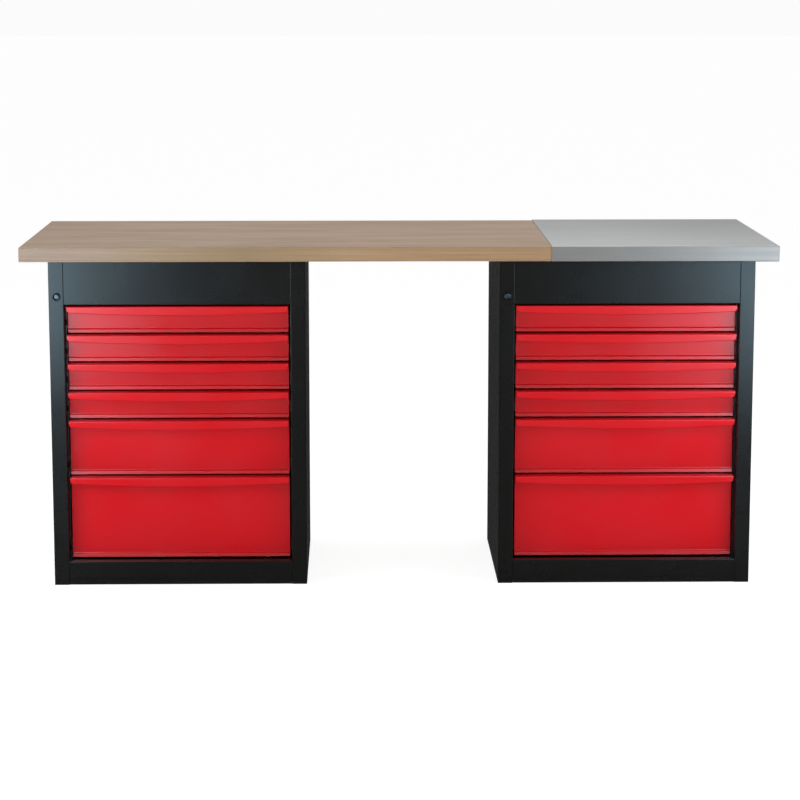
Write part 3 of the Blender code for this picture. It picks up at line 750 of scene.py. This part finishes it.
# ====================================================================================================================
# stage: pale floor, light dome behind it, soft lights, camera
# ====================================================================================================================
def emission(name, color, strength):
    mat = bpy.data.materials.new(name)
    mat.use_nodes = True
    t = mat.node_tree
    t.nodes.clear()
    out = t.nodes.new("ShaderNodeOutputMaterial")
    e = t.nodes.new("ShaderNodeEmission")
    e.inputs["Color"].default_value = (*color, 1.0)
    e.inputs["Strength"].default_value = strength
    t.links.new(e.outputs[0], out.inputs["Surface"])
    return mat


def floor_material():
    mat = bpy.data.materials.new("pale_floor")
    mat.use_nodes = True
    t = mat.node_tree
    t.nodes.clear()
    out = t.nodes.new("ShaderNodeOutputMaterial")
    add = t.nodes.new("ShaderNodeAddShader")
    d = t.nodes.new("ShaderNodeBsdfDiffuse")
    d.inputs["Color"].default_value = (0.36, 0.36, 0.36, 1.0)
    e = t.nodes.new("ShaderNodeEmission")
    e.inputs["Color"].default_value = (1.0, 1.0, 1.0, 1.0)
    e.inputs["Strength"].default_value = 0.86
    t.links.new(d.outputs[0], add.inputs[0])
    t.links.new(e.outputs[0], add.inputs[1])
    t.links.new(add.outputs[0], out.inputs["Surface"])
    return mat


def disc_object(name, radius, z, material, seg=96):
    bm = bmesh.new()
    bmesh.ops.create_circle(bm, cap_ends=True, segments=seg, radius=radius)
    for v in bm.verts:
        v.co.z = z
    mesh = bpy.data.meshes.new(name)
    bm.to_mesh(mesh)
    bm.free()
    mesh.materials.append(material)
    o = bpy.data.objects.new(name, mesh)
    bpy.context.scene.collection.objects.link(o)
    return o


floor = disc_object("studio_floor", 70.0, -0.0005, floor_material())
floor.visible_glossy = False

bm = bmesh.new()
bmesh.ops.create_uvsphere(bm, u_segments=48, v_segments=24, radius=75.0)
bmesh.ops.reverse_faces(bm, faces=bm.faces)
mesh = bpy.data.meshes.new("studio_dome")
bm.to_mesh(mesh)
bm.free()
mesh.materials.append(emission("dome_white", (1.0, 1.0, 1.0), 0.965))
dome = bpy.data.objects.new("studio_dome", mesh)
bpy.context.scene.collection.objects.link(dome)
dome.visible_glossy = False
dome.visible_diffuse = False
dome.visible_shadow = False
dome.visible_transmission = False

world = bpy.data.worlds.new("studio_world")
bpy.context.scene.world = world
world.use_nodes = True
wt = world.node_tree
wt.nodes.clear()
wo = wt.nodes.new("ShaderNodeOutputWorld")
bg = wt.nodes.new("ShaderNodeBackground")
tc = wt.nodes.new("ShaderNodeTexCoord")
sep = wt.nodes.new("ShaderNodeSeparateXYZ")
rmp = wt.nodes.new("ShaderNodeValToRGB")
mr = wt.nodes.new("ShaderNodeMapRange")
mr.inputs["From Min"].default_value = -1.0
mr.inputs["From Max"].default_value = 1.0
wt.links.new(tc.outputs["Generated"], sep.inputs[0])
wt.links.new(sep.outputs["Z"], mr.inputs["Value"])
wt.links.new(mr.outputs[0], rmp.inputs["Fac"])
stops = ((0.0, 0.05), (0.44, 0.05), (0.50, 0.14), (0.56, 0.49), (0.75, 0.50), (1.0, 0.50))
cr = rmp.color_ramp
cr.elements[0].position, cr.elements[0].color = stops[0][0], (stops[0][1],) * 3 + (1,)
cr.elements[1].position, cr.elements[1].color = stops[-1][0], (stops[-1][1],) * 3 + (1,)
for p, v in stops[1:-1]:
    e = cr.elements.new(p)
    e.color = (v, v, v, 1)
wt.links.new(rmp.outputs["Color"], bg.inputs["Color"])
rear = wt.nodes.new("ShaderNodeMapRange")               # the room behind the bench is lighter than the room in front of it
rear.interpolation_type = "SMOOTHSTEP"
for key, value in (("From Min", -0.5), ("From Max", 0.5), ("To Min", 0.40), ("To Max", 1.0)):
    rear.inputs[key].default_value = value
wt.links.new(sep.outputs["Y"], rear.inputs["Value"])
wt.links.new(rear.outputs[0], bg.inputs["Strength"])
wt.links.new(bg.outputs[0], wo.inputs["Surface"])


def softbox(name, at, aim, width, height, radiance, color=(1, 1, 1)):
    """Area light given by the radiance of its face."""
    data = bpy.data.lights.new(name, "AREA")
    data.shape = "RECTANGLE"
    data.size, data.size_y = width, height
    data.energy = radiance * math.pi * width * height
    data.color = color
    o = bpy.data.objects.new(name, data)
    bpy.context.scene.collection.objects.link(o)
    o.location = at
    o.rotation_euler = (Vector(aim) - Vector(at)).to_track_quat("-Z", "Y").to_euler()
    o.visible_camera = False
    return o


COOL = (0.57, 0.84, 1.0)
WARM = (1.0, 0.985, 0.965)
softbox("top_front", (0.0, -3.3, 2.9), (0.0, -0.2, 0.5), 5.0, 1.5, 0.5, WARM)
softbox("overhead", (0.0, 0.1, 3.2), (0.0, 0.0, 0.9), 3.6, 1.8, 1.5, WARM)
fill = softbox("front_fill", (0.0, -6.5, 1.3), (0.0, 0.0, 0.95), 6.0, 2.2, 0.36, WARM)
fill.visible_glossy = False
fill.data.spread = math.radians(36.0)
softbox("rear_top", (0.0, 3.4, 3.0), (0.0, 0.0, 0.8), 5.0, 1.6, 1.0, (1.0, 1.0, 1.0))
# cool reflector cards stand off both ends of the bench, each for its own cabinet; the bright steel has dimmer ones of its own
def linked(name, members, state):
    """A set of pieces that a light shines on, or passes by."""
    col = bpy.data.collections.new(name)
    for o in members:
        col.objects.link(o)
    for c in col.collection_objects:
        c.light_linking.link_state = state
    return col


cover_obj = bpy.data.objects["worktop_steel_cover"]
steel_only = linked("steel_only", [cover_obj], "INCLUDE")
past = {}
for key, other in (("left", "right"), ("right", "left")):
    walls = [bpy.data.objects[f"{other}_cabinet_{w}_wall"] for w in SIDES]
    past[key] = linked(f"past_{key}_cards", [cover_obj] + walls, "EXCLUDE")
for key, sign, shift, aim_x, outer_rad, inner_rad in (("left", -1.0, 0.0, -0.62, 14.0, 3.2), ("right", 1.0, 0.02, 0.64, 10.6, 2.4)):
    for part, x0, x1, radiance in (("outer", 1.12, 2.30, outer_rad), ("inner", 0.85, 1.12, inner_rad)):
        x = sign * (x0 + x1) / 2 + shift
        card = softbox(f"card_{key}_{part}", (x, -1.95, 1.015), (x, 0.0, 1.015), x1 - x0, 1.35, radiance, COOL)
        card.visible_diffuse = False
        card.light_linking.receiver_collection = past[key]
    glow = softbox(f"glow_{key}", (sign * 1.52, -1.15, 0.84), (aim_x, -0.33, 0.72), 0.8, 0.7, 5.8, (0.96, 0.985, 1.0))
    glow.visible_glossy = False
# the outer sides and backs of the cabinets face away from the front lights: low lights of their own, for those sheets only
outside = linked("outside_sheets", [bpy.data.objects[f"{s}_cabinet_{s}_wall"] for s in SIDES] + [bpy.data.objects[f"{s}_cabinet_back"] for s in SIDES], "INCLUDE")
for name, at, width in (("side_left", (-2.6, 0.5, 0.75), 1.3), ("side_right", (2.6, 0.5, 0.75), 1.3), ("behind", (0.0, 3.2, 0.75), 2.6)):
    low = softbox(name, at, (0.0, at[1] if at[0] else 0.0, 0.5), width, 1.1, 6.5, WARM)
    low.light_linking.receiver_collection = outside
for part, x0, x1, radiance, tint in (("wide", 0.0, 0.62, 0.50, (1.0, 0.93, 0.87)), ("dark", 0.62, 1.12, 0.10, WARM),
                                   ("mid", 1.12, 1.36, 1.35, (0.92, 0.97, 1.0)), ("right", 1.36, 2.4, 2.25, (0.84, 0.92, 1.0))):
    x = (x0 + x1) / 2
    card = softbox(f"steel_card_{part}", (x, -1.95, 0.98), (x, 0.0, 0.98), x1 - x0, 1.42, radiance, tint)
    card.visible_diffuse = False
    card.light_linking.receiver_collection = steel_only

for sign in (-1.0, 1.0):
    side = softbox(f"steel_side_{'left' if sign < 0 else 'right'}", (0.7 + sign * 4.6, -3.2, 2.6), (0.7, 0.0, 0.92), 4.2, 2.4, 0.55, WARM)
    side.visible_diffuse = False
    side.light_linking.receiver_collection = steel_only

# the steel's vertical edges see a pale floor beside and behind the bench
for name, x, y, wide, deep in (("end", 2.3, 0.0, 2.4, 2.4), ("rear", 0.6, 2.0, 3.0, 2.0), ("front_left", -1.0, -2.0, 1.8, 1.8),
                               ("front_right", 2.6, -2.0, 1.4, 1.8)):
    pale = softbox(f"steel_floor_{name}", (x, y, 0.03), (x, y, 1.0), wide, deep, 0.6, WARM)
    pale.visible_diffuse = False
    pale.light_linking.receiver_collection = steel_only

cam_data = bpy.data.cameras.new("camera")
cam_data.sensor_width = 36.0
cam_data.lens = 2506.4 / 800.0 * 36.0
cam_data.clip_start, cam_data.clip_end = 0.1, 400.0
cam = bpy.data.objects.new("camera", cam_data)
bpy.context.scene.collection.objects.link(cam)
cam.location = (-0.12378, -6.92898, 1.60562)
cam.rotation_euler = (math.pi / 2 - 0.1654, 0.0, -0.0189)
bpy.context.scene.camera = cam
bpy.context.scene.view_settings.view_transform = "Standard"
bpy.context.scene.view_settings.look = "None"
